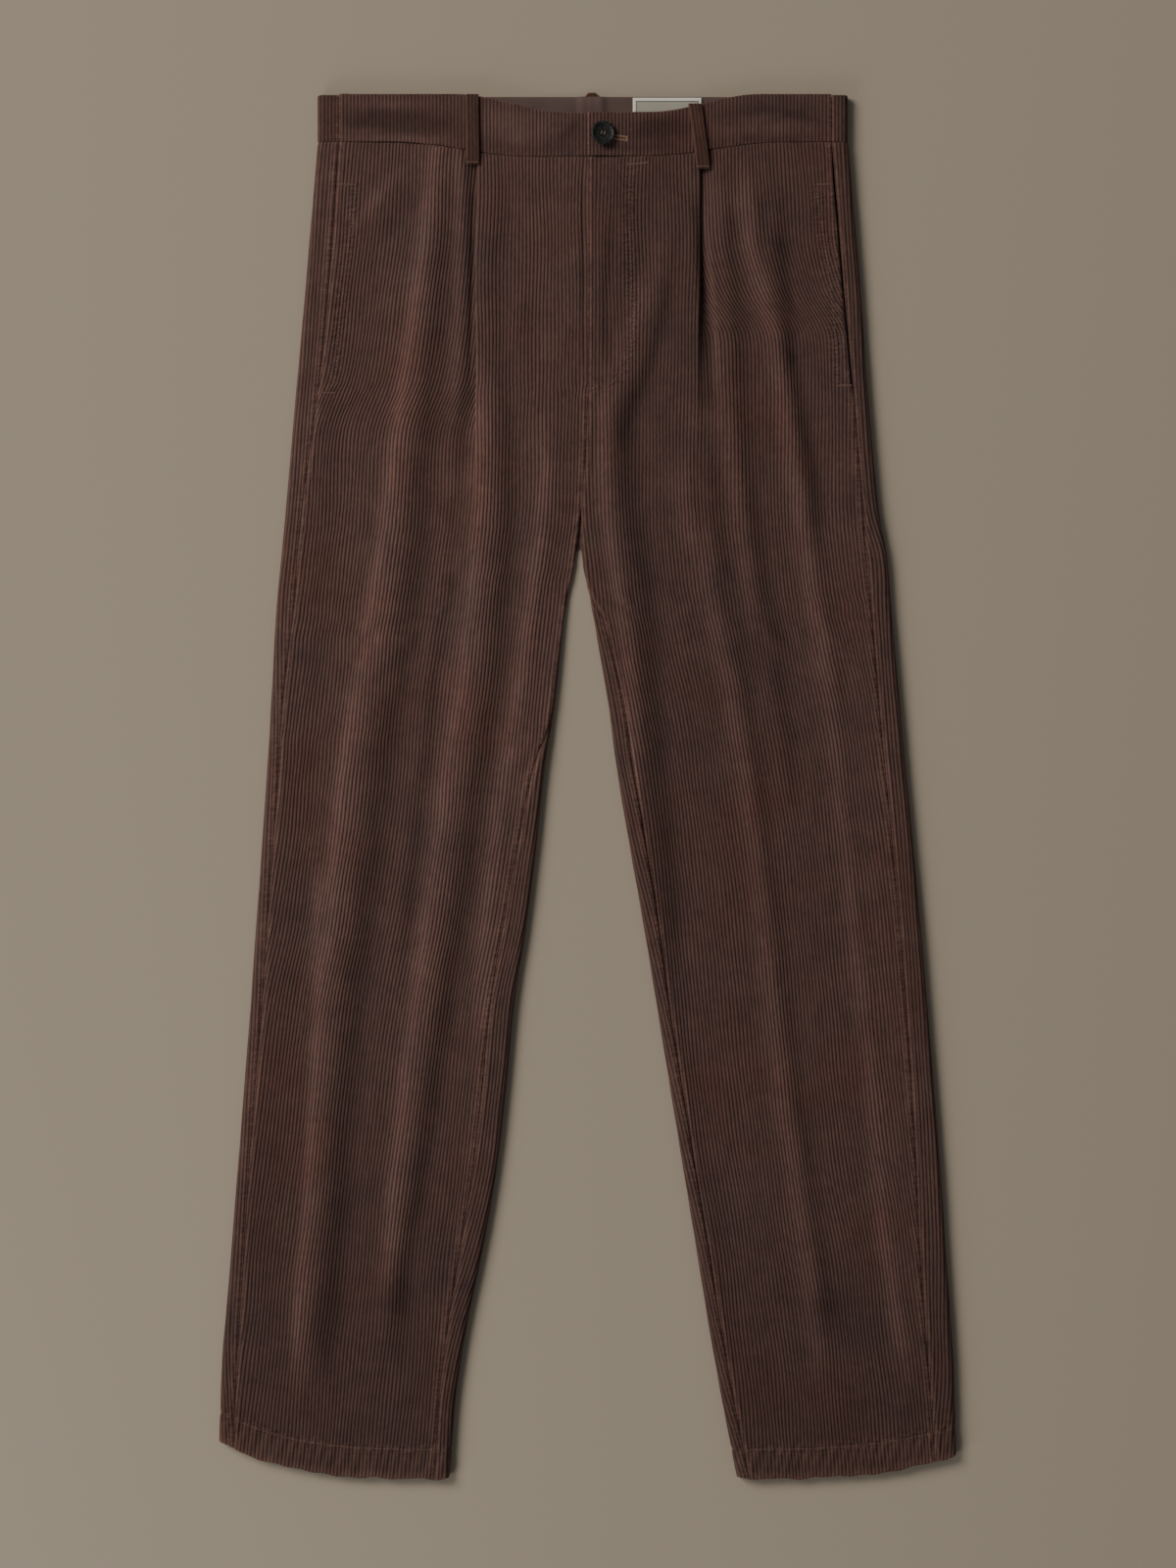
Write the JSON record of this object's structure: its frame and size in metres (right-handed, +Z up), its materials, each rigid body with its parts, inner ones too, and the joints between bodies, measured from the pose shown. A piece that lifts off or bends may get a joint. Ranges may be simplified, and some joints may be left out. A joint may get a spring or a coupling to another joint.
{
  "type": "corduroy trousers laid flat",
  "caption": "Pleated corduroy trousers laid flat on their back, with a buttoned waistband, belt loops, side pockets and straight turned-up legs.",
  "frame": {"origin": "centre of the garment's box on the surface it lies on", "axes": "+X the wearer's left, +Y from the hems to the waist, +Z up from the surface"},
  "size_m": [0.5766, 1.0886, 0.0203],
  "materials": {
    "corduroy": "ribbed cotton corduroy with a soft pile",
    "facing_twill": "plain brushed cotton twill",
    "label_cloth": "woven satin tape, bare",
    "button_horn": "dark horn, satin",
    "thread": "twisted polyester sewing thread",
    "button_thread": "twisted cotton thread"
  },
  "bodies": {
    "root": {"front_panel_left": "corduroy", "front_panel_right": "corduroy", "back_panel_left": "corduroy", "back_panel_right": "corduroy", "waistband_front_left": "corduroy", "waistband_front_right": "corduroy", "waistband_back": "corduroy", "waistband_facing": "facing_twill", "pocket_facing_left": "facing_twill", "pocket_facing_right": "facing_twill", "label": "label_cloth", "loop_front_left": "corduroy", "loop_front_right": "corduroy", "loop_side_left": "corduroy", "loop_side_right": "corduroy", "loop_centre_back": "corduroy", "button": "button_horn"}
  },
  "joints": []
}
